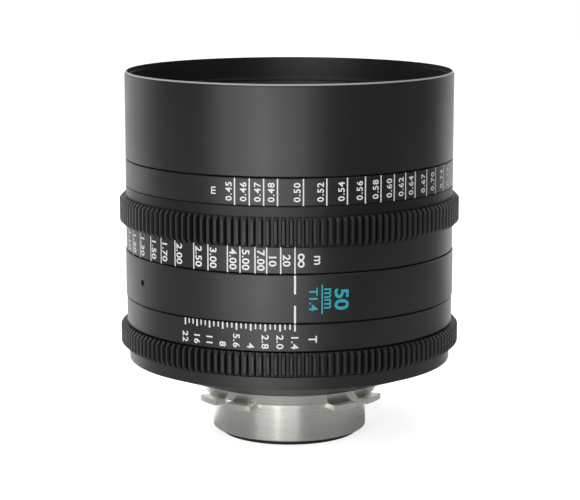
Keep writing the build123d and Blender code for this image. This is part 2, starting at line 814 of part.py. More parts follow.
export_step(carriage_tube.part, "parts/carriage_tube.step")

# Cam follower pins, each with a loose roller
for number, angle in enumerate(follower_angles, start=1):
    outward = Plane(
        origin=(0, 0, cam_start_height),
        x_dir=(-sin(radians(angle)), cos(radians(angle)), 0),
        z_dir=(cos(radians(angle)), sin(radians(angle)), 0),
    )
    with BuildPart() as follower_pin:
        with BuildSketch(outward.offset(cell_radius + 0.1)):
            Circle(follower_pin_radius)
        extrude(amount=cam_outer_radius - 0.6 - cell_radius)
    follower_pin.part.label = f"follower_pin_{number}"
    export_step(follower_pin.part, f"parts/follower_pin_{number}.step")
    with BuildPart() as follower_roller:
        with BuildSketch(outward.offset(carriage_radius + 0.1)):
            Circle(roller_radius)
            Circle(follower_pin_radius, mode=Mode.SUBTRACT)
        extrude(amount=cam_outer_radius - 0.8 - carriage_radius)
    follower_roller.part.label = f"follower_roller_{number}"
    export_step(follower_roller.part, f"parts/follower_roller_{number}.step")

# Front cell: stepped seats for the front glass
with BuildPart() as front_cell:
    with BuildSketch(Plane.XZ):
        with BuildLine():
            Polyline(
                (pair_rim - 3, cell_seat - 3),
                (cage_lip, cell_seat - 3),
                (cage_lip, cell_seat + carriage_floor),
                (cell_radius, cell_seat + carriage_floor),
                (cell_radius, cell_seat + 11),
                (cell_radius - 0.7, cell_seat + 11.7),
                (cell_radius - 0.7, cell_seat + 19),
                (cell_radius, cell_seat + 19.7),
                (cell_radius, carriage_top - 1),
                (front_rim, carriage_top - 1),
                (front_rim, rim_bottom["glass_front"]),
                (front_rim - 1.8, rim_bottom["glass_front"]),
                (front_rim - 1.8, rim_top["glass_second"] + 3),
                (second_rim, rim_top["glass_second"] + 3),
                (second_rim, rim_bottom["glass_second"]),
                (second_rim - 2, rim_bottom["glass_second"]),
                (second_rim - 2, rim_top["glass_third"] + 2.8),
                (pair_rim, rim_top["glass_third"] + 2.8),
                (pair_rim, rim_bottom["glass_fourth"]),
                (pair_rim - 3, rim_bottom["glass_fourth"]),
                close=True,
            )
        make_face()
    revolve(axis=Axis.Z)
front_cell.part.label = "front_cell"
export_step(front_cell.part, "parts/front_cell.step")

# Glass elements, each with ground flat rims outside its clear surfaces
for name, row in glass.items():
    high_above, high_drop, high_clear, low_above, low_drop, low_clear, rim = row
    high = iris_floor_top + high_above
    low = iris_floor_top + low_above
    with BuildPart() as element:
        with BuildSketch(Plane.XZ):
            with BuildLine():
                ThreePointArc(
                    (0, high),
                    (high_clear / 2, high - half_way_drop(high_drop, high_clear)),
                    (high_clear, rim_top[name]),
                )
                Line((high_clear, rim_top[name]), (rim, rim_top[name]))
                Line((rim, rim_top[name]), (rim, rim_bottom[name]))
                Line((rim, rim_bottom[name]), (low_clear, rim_bottom[name]))
                ThreePointArc(
                    (low_clear, rim_bottom[name]),
                    (low_clear / 2, low - half_way_drop(low_drop, low_clear)),
                    (0, low),
                )
                Line((0, low), (0, high))
            make_face()
        revolve(axis=Axis.Z)
    element.part.label = name
    export_step(element.part, f"parts/{name}.step")

# Front bezel: the threaded ring round the front glass
with BuildPart() as front_bezel:
    with BuildSketch(Plane.XZ):
        with BuildLine():
            Polyline(
                (front_rim - 1.6, rim_top["glass_front"]),
                (front_rim, rim_top["glass_front"]),
                (front_rim, carriage_top),
                (carriage_radius, carriage_top),
                (carriage_radius, carriage_top + 1.7),
                (carriage_radius - 0.5, carriage_top + 2.2),
                (front_rim - 0.4, carriage_top + 2.2),
                (front_rim - 1.6, carriage_top - 1),
                close=True,
            )
        make_face()
    revolve(axis=Axis.Z)
front_bezel.part.label = "front_bezel"
export_step(front_bezel.part, "parts/front_bezel.step")

# Threaded ring over the second element
with BuildPart() as second_retainer:
    with BuildSketch(Plane.XY.offset(rim_top["glass_second"])):
        Circle(second_rim)
        Circle(second_rim - 1.8, mode=Mode.SUBTRACT)
    extrude(amount=2.2)
second_retainer.part.label = "second_retainer"
export_step(second_retainer.part, "parts/second_retainer.step")

# Threaded ring over the cemented pair ahead of the iris
with BuildPart() as pair_retainer:
    with BuildSketch(Plane.XY.offset(rim_top["glass_third"])):
        Circle(pair_rim)
        Circle(pair_rim - 1.8, mode=Mode.SUBTRACT)
    extrude(amount=2.0)
pair_retainer.part.label = "pair_retainer"
export_step(pair_retainer.part, "parts/pair_retainer.step")

# Iris cage: cup with pivot holes and a side window for the drive lug
first = bar_start_angle - window_margin
last = bar_start_angle + iris_turn + window_margin
with BuildPart() as iris_cage:
    with BuildSketch(Plane.XZ):
        with BuildLine():
            Polyline(
                (cage_lower_bore, cage_bottom),
                (iris_cage_radius, cage_bottom),
                (iris_cage_radius, cell_seat),
                (cage_lip, cell_seat),
                (cage_lip, cage_rim),
                (iris_cage_bore, cage_rim),
                (iris_cage_bore, iris_floor_top),
                (iris_opening, iris_floor_top),
                (iris_opening, iris_floor_bottom),
                (cage_lower_bore, iris_floor_bottom),
                close=True,
            )
        make_face()
    revolve(axis=Axis.Z)
    with BuildSketch(Plane.XY.offset(iris_floor_bottom)):
        with PolarLocations(pivot_radius, blade_count):
            Circle(pivot_pin_radius + pin_clearance)
    extrude(amount=iris_floor_top - iris_floor_bottom, mode=Mode.SUBTRACT)
    with BuildSketch(Plane.XY.offset(iris_ring_bottom - stop_gap)):
        Polygon(
            on_circle(iris_cage_bore - 2, first),
            on_circle(iris_cage_radius + 8, first),
            on_circle(iris_cage_radius + 8, last),
            on_circle(iris_cage_bore - 2, last),
            align=None,
        )
    extrude(amount=iris_ring_top - iris_ring_bottom + 2 * stop_gap, mode=Mode.SUBTRACT)
iris_cage.part.label = "iris_cage"
export_step(iris_cage.part, "parts/iris_cage.step")


def slot_point(turn):
    arm = drive_arm_angle + turn * blade_turn / iris_turn
    x = pivot_radius + drive_arm * cos(radians(arm))
    y = drive_arm * sin(radians(arm))
    return Vector(x, y).rotate(Axis.Z, -turn)


# Both sides of a drive slot: the path of the drive pin seen from the turning ring
slot_half = pivot_pin_radius + pin_clearance
slot_overrun = 0.5
slot_left = []
slot_right = []
for step in range(9):
    turn = -slot_overrun + (iris_turn + 2 * slot_overrun) * step / 8
    along = (slot_point(turn + 0.01) - slot_point(turn - 0.01)).normalized()
    across = along.rotate(Axis.Z, 90) * slot_half
    slot_left.append(slot_point(turn) + across)
    slot_right.append(slot_point(turn) - across)
slot_start = slot_point(-slot_overrun - degrees(slot_half / pivot_radius))
slot_end = slot_point(iris_turn + slot_overrun + degrees(slot_half / pivot_radius))

# Iris drive ring with one curved slot per blade and a forked lug
with BuildPart() as iris_drive_ring:
    with BuildSketch(Plane.XY.offset(iris_ring_bottom)):
        Circle(iris_cage_bore - turning_clearance)
        with Locations(Location((0, 0, 0), (0, 0, bar_start_angle))):
            with Locations(((lug_reach + pivot_radius + 2) / 2, 0)):
                Rectangle(lug_reach - pivot_radius - 2, lug_width)
            with Locations(((lug_reach + 1 + notch_inner) / 2, 0)):
                Rectangle(
                    lug_reach + 1 - notch_inner,
                    bar_width + 2 * pin_clearance,
                    mode=Mode.SUBTRACT,
                )
        Circle(iris_ring_inner, mode=Mode.SUBTRACT)
    extrude(amount=iris_ring_top - iris_ring_bottom)
    for blade in range(blade_count):
        turned = 360.0 / blade_count * blade
        flat = Plane(
            origin=(0, 0, iris_ring_bottom),
            x_dir=(cos(radians(turned)), sin(radians(turned)), 0),
            z_dir=(0, 0, 1),
        )
        with BuildSketch(flat):
            with BuildLine():
                Spline(slot_left)
                ThreePointArc(slot_left[-1], slot_end, slot_right[-1])
                Spline(slot_right)
                ThreePointArc(slot_right[0], slot_start, slot_left[0])
            make_face()
        extrude(amount=iris_ring_top - iris_ring_bottom, mode=Mode.SUBTRACT)
iris_drive_ring.part.label = "iris_drive_ring"
export_step(iris_drive_ring.part, "parts/iris_drive_ring.step")

# Cap that keeps the drive ring down
with BuildPart() as iris_cap:
    with BuildSketch(Plane.XY.offset(iris_ring_top + stop_gap)):
        Circle(iris_cage_bore)
        Circle(pivot_radius - 1.5, mode=Mode.SUBTRACT)
    extrude(amount=2.0)
iris_cap.part.label = "iris_cap"
export_step(iris_cap.part, "parts/iris_cap.step")

# Iris blades, one level each, with a pivot pin below and a drive pin above
blade_middle = (blade_open_radius + blade_outer_radius) / 2
blade_end_angle = degrees((blade_outer_radius - blade_open_radius) / 2 / blade_middle)
blade_arc_end = blade_arc_start + blade_arc
drive_x = pivot_radius + drive_arm * cos(radians(drive_arm_angle))
drive_y = drive_arm * sin(radians(drive_arm_angle))
for number in range(1, blade_count + 1):
    turned = 360.0 / blade_count * (number - 1)
    level = blade_bottom + blade_pitch * (number - 1)
    flat = Plane(
        origin=(0, 0, level),
        x_dir=(cos(radians(turned)), sin(radians(turned)), 0),
        z_dir=(0, 0, 1),
    )
    with BuildPart() as iris_blade:
        with BuildSketch(flat):
            with BuildLine():
                ThreePointArc(
                    on_circle(blade_outer_radius, blade_arc_start),
                    on_circle(blade_outer_radius, blade_arc_start + blade_arc / 2),
                    on_circle(blade_outer_radius, blade_arc_end),
                )
                ThreePointArc(
                    on_circle(blade_outer_radius, blade_arc_end),
                    on_circle(blade_middle, blade_arc_end + blade_end_angle),
                    on_circle(blade_open_radius, blade_arc_end),
                )
                ThreePointArc(
                    on_circle(blade_open_radius, blade_arc_end),
                    on_circle(blade_open_radius, blade_arc_start + blade_arc / 2),
                    on_circle(blade_open_radius, blade_arc_start),
                )
                ThreePointArc(
                    on_circle(blade_open_radius, blade_arc_start),
                    on_circle(blade_middle, blade_arc_start - blade_end_angle),
                    on_circle(blade_outer_radius, blade_arc_start),
                )
            make_face()
            Polygon(
                (blade_middle, 3.0),
                (pivot_radius - 0.5, 1.4),
                (pivot_radius + 1.2, 0.6),
                (drive_x + 1.3, drive_y - 0.6),
                (drive_x - 0.4, drive_y - 1.2),
                (drive_x - 1.3, drive_y + 0.2),
                (blade_middle + 1.0, -0.5),
                align=None,
            )
        extrude(amount=blade_thickness)
        with BuildSketch(flat.offset(iris_floor_bottom + 0.3 - level)):
            with Locations((pivot_radius, 0)):
                Circle(pivot_pin_radius)
        extrude(amount=level - iris_floor_bottom - 0.3 + blade_thickness)
        with BuildSketch(flat):
            with Locations((drive_x, drive_y)):
                Circle(pivot_pin_radius)
        extrude(amount=drive_pin_top - level)
    iris_blade.part.label = f"iris_blade_{number}"
    export_step(iris_blade.part, f"parts/iris_blade_{number}.step")

# Rear cell: carries the glass behind the iris
rear_cell_top = iris_floor_bottom - 0.5
with BuildPart() as rear_cell:
    with BuildSketch(Plane.XZ):
        with BuildLine():
            Polyline(
                (rear_rim_radius, rear_cell_bottom),
                (rear_cell_radius, rear_cell_bottom),
                (rear_cell_radius, cage_bottom - 3),
                (iris_cage_radius, cage_bottom - 3),
                (iris_cage_radius, cage_bottom),
                (rear_spigot_radius, cage_bottom),
                (rear_spigot_radius, rear_cell_top),
                (pair_rim_radius, rear_cell_top),
                (pair_rim_radius, rim_bottom["glass_sixth"]),
                (rear_seat_radius, rim_bottom["glass_sixth"]),
                (rear_seat_radius, rim_top["glass_seventh"]),
                (rear_rim_radius, rim_top["glass_seventh"]),
                close=True,
            )
        make_face()
    revolve(axis=Axis.Z)
rear_cell.part.label = "rear_cell"
export_step(rear_cell.part, "parts/rear_cell.step")

# Spacer between the last two elements
with BuildPart() as rear_spacer:
    with BuildSketch(Plane.XY.offset(rim_top["glass_rear"])):
        Circle(rear_rim_radius)
        Circle(rear_seat_radius, mode=Mode.SUBTRACT)
    extrude(amount=rim_bottom["glass_seventh"] - rim_top["glass_rear"])
rear_spacer.part.label = "rear_spacer"
export_step(rear_spacer.part, "parts/rear_spacer.step")

# Threaded ring behind the rear element
with BuildPart() as rear_retainer:
    with BuildSketch(Plane.XY.offset(rear_cell_bottom + 0.6)):
        Circle(rear_rim_radius)
        Circle(rear_rim_radius - 2.2, mode=Mode.SUBTRACT)
    extrude(amount=rim_bottom["glass_rear"] - rear_cell_bottom - 0.6)
rear_retainer.part.label = "rear_retainer"
export_step(rear_retainer.part, "parts/rear_retainer.step")

# Threaded ring over the pair behind the iris
with BuildPart() as inner_retainer:
    with BuildSketch(Plane.XY.offset(rim_top["glass_fifth"])):
        Circle(pair_rim_radius)
        Circle(pair_rim_radius - 3.2, mode=Mode.SUBTRACT)
    extrude(amount=rear_cell_top - rim_top["glass_fifth"])
inner_retainer.part.label = "inner_retainer"
export_step(inner_retainer.part, "parts/inner_retainer.step")
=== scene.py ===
# %% [markdown]
# A cinema prime lens, dressed for its portrait
#
# The lens stands on its mount with the front glass up. The solids come from the
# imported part, so every ring, tooth and screw is already in its place. What this
# script adds is what a camera sees: the finish of each metal, the engraved and
# painted scales, the glass coatings, the light and the camera.

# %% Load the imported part
import math

import bmesh
import bpy
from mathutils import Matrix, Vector


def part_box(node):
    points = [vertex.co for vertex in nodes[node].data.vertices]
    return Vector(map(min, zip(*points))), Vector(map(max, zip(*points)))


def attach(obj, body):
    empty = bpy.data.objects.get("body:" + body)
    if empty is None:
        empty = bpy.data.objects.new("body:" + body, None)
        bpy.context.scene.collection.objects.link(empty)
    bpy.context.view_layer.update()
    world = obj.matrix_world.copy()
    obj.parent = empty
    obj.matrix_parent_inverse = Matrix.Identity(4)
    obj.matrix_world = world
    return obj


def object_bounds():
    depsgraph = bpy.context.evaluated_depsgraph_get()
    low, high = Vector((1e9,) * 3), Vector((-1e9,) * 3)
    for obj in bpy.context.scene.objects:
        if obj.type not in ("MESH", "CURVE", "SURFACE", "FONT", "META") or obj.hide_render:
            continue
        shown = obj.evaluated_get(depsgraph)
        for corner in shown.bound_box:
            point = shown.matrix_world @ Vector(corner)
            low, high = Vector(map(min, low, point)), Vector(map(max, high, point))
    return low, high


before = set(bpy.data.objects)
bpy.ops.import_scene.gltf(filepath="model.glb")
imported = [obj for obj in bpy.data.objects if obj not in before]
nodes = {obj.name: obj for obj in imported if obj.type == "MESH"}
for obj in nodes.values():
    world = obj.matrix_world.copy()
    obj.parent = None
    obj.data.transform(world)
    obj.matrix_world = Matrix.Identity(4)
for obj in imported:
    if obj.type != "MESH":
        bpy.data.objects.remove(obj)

cad_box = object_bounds()
MM = 0.001
print("nodes in the frame:", len(nodes))

# %% [markdown]
# Where things are
#
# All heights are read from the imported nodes, so the paint stays on its ring if a
# ring is ever made taller. The index line is at -Y. An angle here is counted from
# that line, positive towards the reader's right, as the scales are read.

# %% Read the ring sizes


def low_of(node):
    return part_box(node)[0][2]


def high_of(node):
    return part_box(node)[1][2]


SCALE_RADIUS = 57.0 * MM
INDEX_RADIUS = 57.25 * MM
upper_band = (low_of("focus_scale_upper"), high_of("focus_scale_upper"))
lower_band = (low_of("focus_scale_lower"), high_of("focus_scale_lower"))
index_band = (low_of("index_barrel"), high_of("index_barrel"))
iris_band = (low_of("iris_scale_sleeve"), high_of("iris_scale_sleeve"))
print("upper scale from", round(upper_band[0] / MM, 2), "to", round(upper_band[1] / MM, 2))


def on_barrel(radius, angle, height):
    """A point on a cylinder round the optical axis, counted from the index line."""
    turn = math.radians(angle)
    return Vector((radius * math.sin(turn), -radius * math.cos(turn), height))


# %% [markdown]
# Helpers for node materials
#
# Each finish is a small node tree. The helpers below only save typing: one makes
# a node, one wires two sockets, and others blend two values or two colours by a
# noise.

# %% Node helpers
NOISE_LOW, NOISE_HIGH = 0.3, 0.7


def new_material(name):
    material = bpy.data.materials.new(name)
    material.use_nodes = True
    tree = material.node_tree
    shader = tree.nodes["Principled BSDF"]
    return material, tree, shader


def add(tree, kind, **values):
    node = tree.nodes.new(kind)
    for key, value in values.items():
        if hasattr(node, key):
            setattr(node, key, value)
        else:
            node.inputs[key.replace("_", " ")].default_value = value
    return node


def wire(tree, source, target):
    tree.links.new(source, target)


def object_coordinates(tree):
    return add(tree, "ShaderNodeTexCoord").outputs["Object"]


def noise(tree, scale, detail=2.0):
    grain = add(tree, "ShaderNodeTexNoise", Scale=scale, Detail=detail)
    wire(tree, object_coordinates(tree), grain.inputs["Vector"])
    return grain.outputs["Fac"]


def between(tree, factor, low, high):
    """A value that follows a noise from low to high over the range a noise really has."""
    ramp = add(tree, "ShaderNodeMapRange")
    ramp.inputs["From Min"].default_value = NOISE_LOW
    ramp.inputs["From Max"].default_value = NOISE_HIGH
    ramp.inputs["To Min"].default_value = low
    ramp.inputs["To Max"].default_value = high
    wire(tree, factor, ramp.inputs["Value"])
    return ramp.outputs["Result"]


def colour_between(tree, factor, low, high):
    mix = add(tree, "ShaderNodeMix", data_type="RGBA")
    mix.inputs["A"].default_value = (*low, 1.0)
    mix.inputs["B"].default_value = (*high, 1.0)
    wire(tree, factor, mix.inputs["Factor"])
    return mix.outputs["Result"]


def bump(tree, height, distance, strength=1.0):
    node = add(tree, "ShaderNodeBump", Strength=strength, Distance=distance)
    wire(tree, height, node.inputs["Height"])
    return node.outputs["Normal"]


# %% [markdown]
# Helpers that tell one place from another
#
# Some finishes change from place to place on one solid, such as from tip to gap of
# a tooth. A height comes straight from the coordinates, and the distance from the
# optical axis is the length of X and Y taken together.

# %% Place helpers


def split_coordinates(tree):
    split = add(tree, "ShaderNodeSeparateXYZ")
    wire(tree, object_coordinates(tree), split.inputs["Vector"])
    return split


def combine(tree, operation, first, second):
    """Two values put together by a named operation, such as the greater of the two."""
    node = add(tree, "ShaderNodeMath", operation=operation)
    wire(tree, first, node.inputs[0])
    wire(tree, second, node.inputs[1])
    return node.outputs[0]


def is_above(tree, value, limit):
    node = add(tree, "ShaderNodeMath", operation="GREATER_THAN")
    node.inputs[1].default_value = limit
    wire(tree, value, node.inputs[0])
    return node.outputs[0]


def axis_distance(tree):
    """Distance of the shaded point from the optical axis, in metres."""
    split = split_coordinates(tree)
    flat = add(tree, "ShaderNodeCombineXYZ")
    wire(tree, split.outputs["X"], flat.inputs["X"])
    wire(tree, split.outputs["Y"], flat.inputs["Y"])
    length = add(tree, "ShaderNodeVectorMath", operation="LENGTH")
    wire(tree, flat.outputs["Vector"], length.inputs[0])
    return length.outputs["Value"]


# %% [markdown]
# Black anodised aluminium
#
# The barrel is blasted with fine beads before it is anodised, so it is satin, not
# glossy, and close up it has a fine grain. A single noise would look like dirt,
# so two are used: a very fine one lifts the surface and speckles the colour, and
# a broad faint one varies the gloss as hands do.

# %% Anodised finish
GRAIN = 2600.0
GRAIN_HEIGHT = 0.02 * MM
HANDLING = 35.0
SATIN = 0.36
GLOSS_CHANGE = 0.04
SURFACE_SHINE = 0.58


def grey(level):
    return (level, level, level)


def anodised(name, dark, light):
    material, tree, shader = new_material(name)
    fine = noise(tree, GRAIN, detail=3.0)
    broad = noise(tree, HANDLING, detail=3.0)
    wire(tree, colour_between(tree, fine, grey(dark), grey(light)), shader.inputs["Base Color"])
    wire(tree, between(tree, broad, SATIN - GLOSS_CHANGE, SATIN + GLOSS_CHANGE),
         shader.inputs["Roughness"])
    wire(tree, bump(tree, fine, GRAIN_HEIGHT, strength=0.35), shader.inputs["Normal"])
    shader.inputs["Specular IOR Level"].default_value = SURFACE_SHINE
    return material


BARREL_DARK, BARREL_LIGHT = 0.008, 0.017
barrel_black = anodised("barrel_black", BARREL_DARK, BARREL_LIGHT)
rear_black = anodised("rear_black", 0.008, 0.016)
# Painted sheen: the inside parts are painted lighter than the barrel, standing in for the highlight
# on the hood's inner wall.
inside_black_and_sheen = anodised("inside_black_and_sheen", 0.020, 0.034)
print("made", barrel_black.name, rear_black.name, inside_black_and_sheen.name)

# %% [markdown]
# The bevel of the front rim
#
# The narrow bevel round the front rim is cut after the barrel is anodised, so it is
# bare aluminium, and its pale grey is also a painted highlight: the thin bright line
# where the rim's edge catches the light. It is the same solid as the barrel, so the
# colour changes by place: what lies high enough and far enough from the axis is
# painted that pale grey.

# %% Front barrel finish
RIM_BEVEL = 0.45 * MM
RIM_INNER = 56.3 * MM
BARE_GREY_AND_HIGHLIGHT = (0.42, 0.42, 0.41, 1.0)
rim_black = anodised("rim_black", BARREL_DARK, BARREL_LIGHT)
tree = rim_black.node_tree
shader = tree.nodes["Principled BSDF"]
bevel_low = high_of("front_barrel") - RIM_BEVEL
high = is_above(tree, split_coordinates(tree).outputs["Z"], bevel_low)
outer = is_above(tree, axis_distance(tree), RIM_INNER)
mix = add(tree, "ShaderNodeMix", data_type="RGBA")
wire(tree, combine(tree, "MULTIPLY", high, outer), mix.inputs["Factor"])
wire(tree, shader.inputs["Base Color"].links[0].from_socket, mix.inputs["A"])
# B is the pale grey of bare aluminium, which also paints the rim's bright highlight.
mix.inputs["B"].default_value = BARE_GREY_AND_HIGHLIGHT
wire(tree, mix.outputs["Result"], shader.inputs["Base Color"])
print("made", rim_black.name, "bare above", round(bevel_low / MM, 2), "mm")

# %% [markdown]
# Gear teeth
#
# The teeth are cut after the ring is turned and anodised with it. Their tips are
# rubbed by drive gears, so they are paler, and they are painted paler still as a
# highlight where light catches them. The gaps are painted nearly black, a painted
# shade between the teeth. How far a point is from the optical axis says whether it
# is tip or gap.

# %% Tooth finish
# The gap colours are painted shade; the tip colours are wear and a painted highlight.
SHADED_BELOW = 57.9 * MM
TOOTH_TIP = 59.15 * MM
SHADED_GAP_DARK, SHADED_GAP_LIGHT = 0.002, 0.005
TIP_DARK, TIP_LIGHT = 0.014, 0.028
TOOTH_WEAR = 60.0
TOOTH_SATIN = (0.40, 0.50)


def toothed(name):
    material, tree, shader = new_material(name)
    ramp = add(tree, "ShaderNodeMapRange")
    ramp.inputs["From Min"].default_value = SHADED_BELOW
    ramp.inputs["From Max"].default_value = TOOTH_TIP
    wire(tree, axis_distance(tree), ramp.inputs["Value"])
    fine = noise(tree, GRAIN, detail=3.0)
    # Painted shade in the gaps, painted highlight and wear on the tips.
    shaded_gap_colour = colour_between(tree, fine, grey(SHADED_GAP_DARK), grey(SHADED_GAP_LIGHT))
    tip_colour = colour_between(tree, fine, grey(TIP_DARK), grey(TIP_LIGHT))
    mix = add(tree, "ShaderNodeMix", data_type="RGBA")
    wire(tree, ramp.outputs["Result"], mix.inputs["Factor"])
    wire(tree, shaded_gap_colour, mix.inputs["A"])
    wire(tree, tip_colour, mix.inputs["B"])
    wire(tree, mix.outputs["Result"], shader.inputs["Base Color"])
    wire(tree, between(tree, noise(tree, TOOTH_WEAR), *TOOTH_SATIN), shader.inputs["Roughness"])
    wire(tree, bump(tree, fine, GRAIN_HEIGHT, strength=0.3), shader.inputs["Normal"])
    return material


gear_black = toothed("gear_black")
print("made", gear_black.name)

# %% [markdown]
# Turned steel and bronze
#
# The mount is stainless steel straight off the lathe: bright, with fine rings
# round the axis. The rings are a noise of height and distance only, so they are
# the same all the way round. Such grooves spread a highlight across them, so on the
# tube it is a streak up and down, which the anisotropic shader gives.

# %% Turned metal
GROOVES = 5200.0
GROOVE_CHANGE = 0.02
STREAK = 0.8
QUARTER_TURN = 0.25


def turned_metal(name, dark, light, roughness):
    material, tree, shader = new_material(name)
    profile = add(tree, "ShaderNodeCombineXYZ")
    wire(tree, split_coordinates(tree).outputs["Z"], profile.inputs["Z"])
    wire(tree, axis_distance(tree), profile.inputs["X"])
    lines = add(tree, "ShaderNodeTexNoise", Scale=GROOVES, Detail=2.0)
    wire(tree, profile.outputs["Vector"], lines.inputs["Vector"])
    groove = lines.outputs["Fac"]
    wire(tree, colour_between(tree, groove, dark, light), shader.inputs["Base Color"])
    wire(tree, between(tree, groove, roughness - GROOVE_CHANGE, roughness + GROOVE_CHANGE),
         shader.inputs["Roughness"])
    around = add(tree, "ShaderNodeTangent", direction_type="RADIAL", axis="Z")
    wire(tree, around.outputs["Tangent"], shader.inputs["Tangent"])
    shader.inputs["Anisotropic"].default_value = STREAK
    shader.inputs["Anisotropic Rotation"].default_value = QUARTER_TURN
    shader.inputs["Metallic"].default_value = 1.0
    return material


mount_steel = turned_metal("mount_steel", (0.82, 0.81, 0.76), (0.93, 0.92, 0.87), 0.27)
bearing_bronze = turned_metal("bearing_bronze", (0.42, 0.27, 0.12), (0.60, 0.42, 0.20), 0.32)
black_steel = turned_metal("black_steel", grey(0.05), grey(0.10), 0.35)
print("made", mount_steel.name, bearing_bronze.name, black_steel.name)

# %% [markdown]
# Coated glass
#
# Clear glass that bends light, with a coating that reflects a faint colour. The
# colour of the reflection is a constant on the shader's own socket, because the
# export keeps that. The outer elements reflect green and the inner ones magenta.

# %% Glass finish
CAST_SCALE = 20.0
COOL_CAST = (0.97, 0.99, 1.0)


def coated_glass(name, tint, ior):
    material, tree, shader = new_material(name)
    cast = noise(tree, CAST_SCALE, detail=1.0)
    clear = colour_between(tree, cast, COOL_CAST, grey(1.0))
    wire(tree, clear, shader.inputs["Base Color"])
    shader.inputs["Transmission Weight"].default_value = 1.0
    shader.inputs["Roughness"].default_value = 0.0
    shader.inputs["IOR"].default_value = ior
    shader.inputs["Specular Tint"].default_value = (*tint, 1.0)
    return material


front_glass = coated_glass("front_glass", (0.55, 0.75, 0.60), 1.62)
inner_glass = coated_glass("inner_glass", (0.75, 0.55, 0.80), 1.70)
print("made", front_glass.name, inner_glass.name)

# %% [markdown]
# Paint in the engraving
#
# The scales are engraved and filled with paint that sits flush with the metal. It
# is matt and a little uneven, so the colour wanders slightly.

# %% Paint finishes
PAINT_SPOTS = 900.0
PAINT_MATT = (0.45, 0.60)


def fill_paint(name, low, high):
    material, tree, shader = new_material(name)
    spots = noise(tree, PAINT_SPOTS, detail=3.0)
    wire(tree, colour_between(tree, spots, low, high), shader.inputs["Base Color"])
    wire(tree, between(tree, spots, *PAINT_MATT), shader.inputs["Roughness"])
    return material


white_paint = fill_paint("white_paint", (0.84, 0.84, 0.82), (0.94, 0.94, 0.92))
teal_paint = fill_paint("teal_paint", (0.018, 0.33, 0.42), (0.035, 0.43, 0.52))
print("made", white_paint.name, teal_paint.name)

# %% [markdown]
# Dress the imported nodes
#
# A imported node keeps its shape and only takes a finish. The table gives each
# finish the nodes that wear it, and whatever is left is an inner black part.

# %% Give every node its finish
finishes = {
    rim_black: ("front_barrel",),
    barrel_black: ("focus_scale_upper", "focus_scale_lower", "index_barrel",
                   "iris_scale_sleeve"),
    rear_black: ("rear_housing", "rear_ring", "front_bezel"),
    gear_black: ("focus_gear_ring", "iris_gear_ring"),
    mount_steel: ("lens_mount", "mount_base"),
    bearing_bronze: ("cam_sleeve", "iris_drive_ring", "mount_shim", "follower_roller_1",
                     "follower_roller_2"),
    front_glass: ("glass_front", "glass_rear"),
}
worn = {}
for finish, names in finishes.items():
    for name in names:
        worn[name] = finish
for name, obj in nodes.items():
    finish = worn.get(name)
    if finish is None and name.startswith("glass_"):
        finish = inner_glass
    if finish is None and ("screw" in name or "pin" in name or "bar" in name or "blade" in name):
        finish = black_steel
    # Inner parts take the black that is painted lighter as a sheen.
    if finish is None:
        finish = inside_black_and_sheen
    obj.data.materials.clear()
    obj.data.materials.append(finish)
print("dressed", len(nodes), "nodes")

# %% [markdown]
# Paint on a curved ring
#
# Lettering is flat when it is typed, and has to lie on a cylinder. The text is
# turned to mesh, sliced into narrow strips so it can bend, and every point is
# then moved: how far it was across becomes a turn round the axis, and how far it
# was up becomes a height. The mesh is a thin solid, mostly below the surface, so
# its face stands proud by only a few hundredths of a millimetre. Each mark rides on
# the body of its ring, so it turns with the ring.

# %% Lay a flat mesh on a barrel
PAINT_PROUD = 0.02 * MM
PAINT_DEPTH = 0.10 * MM
STRIP = 0.5 * MM


def slice_across(mesh, axis):
    """Cuts the mesh into strips no wider than STRIP along one flat axis."""
    work = bmesh.new()
    work.from_mesh(mesh)
    values = [vertex.co[axis] for vertex in work.verts]
    normal = Vector((1, 0, 0)) if axis == 0 else Vector((0, 1, 0))
    place = min(values) + STRIP
    while place < max(values):
        parts = list(work.verts) + list(work.edges) + list(work.faces)
        bmesh.ops.bisect_plane(work, geom=parts, plane_co=normal * place, plane_no=normal)
        place += STRIP
    work.to_mesh(mesh)
    work.free()


def wrap(mesh, radius, angle, height, reading):
    """Bends a flat mesh onto the barrel. Reading is 'down', 'up' or 'round'."""
    slice_across(mesh, 0 if reading == "round" else 1)
    for vertex in mesh.vertices:
        x, y, z = vertex.co
        if reading == "down":
            across, rise = y, -x
        elif reading == "up":
            across, rise = -y, x
        else:
            across, rise = x, y
        turn = angle + math.degrees(across / radius)
        vertex.co = on_barrel(radius + PAINT_PROUD - PAINT_DEPTH / 2 + z, turn, height + rise)
    mesh.update()


def place_paint(name, mesh, paint, body):
    obj = bpy.data.objects.new(name, mesh)
    bpy.context.scene.collection.objects.link(obj)
    mesh.materials.clear()
    mesh.materials.append(paint)
    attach(obj, body)


# %% [markdown]
# Lettering and bars
#
# Two kinds of mark are needed: lettering and straight bars. Both return a mesh
# that is still flat, so that the same wrap can lay either one down. The marks of
# one scale are joined into one mesh, as they are filled in one go.

# %% Flat lettering and flat bars
DIGIT_SHARE = 0.72


def flat_text(words, height, weight=0.0, squeeze=1.0, align="CENTER", spacing=1.0):
    """Flat lettering with digits of the given height, centred on its middle line."""
    curve = bpy.data.curves.new("lettering", "FONT")
    curve.body = words
    curve.space_character = spacing
    curve.size = height / DIGIT_SHARE
    curve.align_x = align
    curve.extrude = PAINT_DEPTH / 2
    curve.offset = weight
    curve.resolution_u = 4
    holder = bpy.data.objects.new("lettering", curve)
    bpy.context.scene.collection.objects.link(holder)
    bpy.context.view_layer.update()
    graph = bpy.context.evaluated_depsgraph_get()
    mesh = bpy.data.meshes.new_from_object(holder.evaluated_get(graph))
    bpy.data.objects.remove(holder)
    bpy.data.curves.remove(curve)
    for vertex in mesh.vertices:
        vertex.co.x *= squeeze
        vertex.co.y -= height / 2
    return mesh


